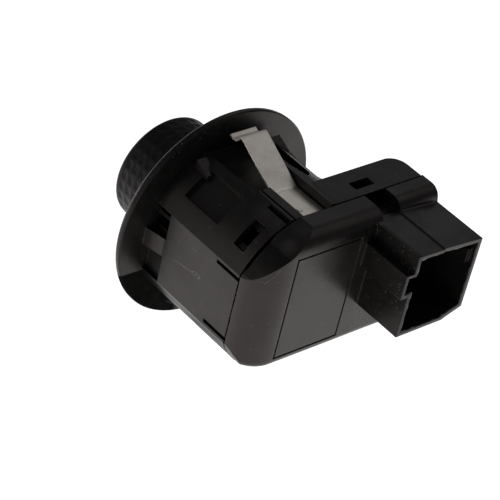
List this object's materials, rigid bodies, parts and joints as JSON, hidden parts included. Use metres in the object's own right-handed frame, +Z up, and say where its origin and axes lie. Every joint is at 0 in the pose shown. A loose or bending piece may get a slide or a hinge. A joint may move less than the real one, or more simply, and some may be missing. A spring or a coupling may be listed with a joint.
{
  "type": "door mirror switch",
  "caption": "Black door mirror switch: round knob that turns and tilts, flanged barrel with leaf springs, and a rear box with a keyed connector socket",
  "frame": {"origin": "centre of the flange's rear face, the face that seats on the door panel, on the knob's axis", "axes": "+Y from the panel into the door along the knob's axis (the knob is at -Y); +Z up, towards the upper leaf spring; +X away from the connector"},
  "size_m": [0.0484, 0.0588, 0.045],
  "materials": {
    "body_plastic": "fine satin moulding grain",
    "cover_plastic": "satin moulding, slightly smoother",
    "grip_plastic": "satin with moulded grip texture",
    "cap_plastic": "satin",
    "inner_plastic": "natural white acetal",
    "plunger_plastic": "smooth natural acetal",
    "silicone": "soft matte silicone",
    "board": "green solder mask",
    "spring_steel": "rolled spring steel",
    "stem_steel": "turned steel",
    "wiper_brass": "stamped brass",
    "blade_metal": "tinned brass"
  },
  "bodies": {
    "housing": {"switch_body": "body_plastic", "rear_cover": "cover_plastic", "panel_spring_upper": "spring_steel", "panel_spring_lower": "spring_steel", "guide_cup": "inner_plastic", "dome_mat": "silicone", "contact_board": "board", "detent_spring": "spring_steel", "terminal_1": "blade_metal", "terminal_2": "blade_metal", "terminal_3": "blade_metal", "terminal_4": "blade_metal", "terminal_5": "blade_metal", "terminal_6": "blade_metal", "terminal_7": "blade_metal", "terminal_8": "blade_metal"},
    "gimbal": {"gimbal_ring": "inner_plastic"},
    "carrier": {"tilt_cup": "inner_plastic"},
    "knob": {"stem": "stem_steel", "stem_clip": "stem_steel", "drive_pin": "stem_steel", "knob_hub": "inner_plastic", "knob_grip": "grip_plastic", "knob_cap": "cap_plastic"},
    "selector": {"selector_rotor": "inner_plastic", "selector_wiper": "wiper_brass"},
    "pin_up": {"plunger_up": "plunger_plastic"},
    "pin_down": {"plunger_down": "plunger_plastic"},
    "pin_right": {"plunger_right": "plunger_plastic"},
    "pin_left": {"plunger_left": "plunger_plastic"}
  },
  "joints": [
    {"name": "tilt_up_down", "type": "hinge", "parent": "housing", "child": "gimbal", "pos_m": [0, 0.0065, 0], "axis": [1, 0, 0], "range_deg": [-5, 5], "stiffness_Nm_per_rad": 0.12, "deforming": ["dome_mat"]},
    {"name": "tilt_left_right", "type": "hinge", "parent": "gimbal", "child": "carrier", "pos_m": [0, 0.0065, 0], "axis": [0, 0, 1], "range_deg": [-5, 5], "stiffness_Nm_per_rad": 0.12, "deforming": ["dome_mat"]},
    {"name": "select", "type": "hinge", "parent": "carrier", "child": "knob", "pos_m": [0, 0.0065, 0], "axis": [0, 1, 0], "range_deg": [-40, 40], "deforming": ["detent_spring"]},
    {"name": "selector_turn", "type": "hinge", "parent": "housing", "child": "selector", "pos_m": [0, 0.0065, 0], "axis": [0, 1, 0], "range_deg": [-40, 40], "deforming": ["detent_spring"]},
    {"name": "press_up", "type": "slide", "parent": "housing", "child": "pin_up", "axis": [0, 1, 0], "range_m": [-0.0006, 0.0006], "deforming": ["dome_mat"]},
    {"name": "press_down", "type": "slide", "parent": "housing", "child": "pin_down", "axis": [0, 1, 0], "range_m": [-0.0006, 0.0006], "deforming": ["dome_mat"]},
    {"name": "press_right", "type": "slide", "parent": "housing", "child": "pin_right", "axis": [0, 1, 0], "range_m": [-0.0006, 0.0006], "deforming": ["dome_mat"]},
    {"name": "press_left", "type": "slide", "parent": "housing", "child": "pin_left", "axis": [0, 1, 0], "range_m": [-0.0006, 0.0006], "deforming": ["dome_mat"]}
  ],
  "couplings": [
    {"joint": "selector_turn", "follows": "select", "ratio": 1},
    {"joint": "press_up", "follows": "tilt_up_down", "m_per_rad": -0.006},
    {"joint": "press_down", "follows": "tilt_up_down", "m_per_rad": 0.006},
    {"joint": "press_right", "follows": "tilt_left_right", "m_per_rad": 0.006},
    {"joint": "press_left", "follows": "tilt_left_right", "m_per_rad": -0.006}
  ]
}
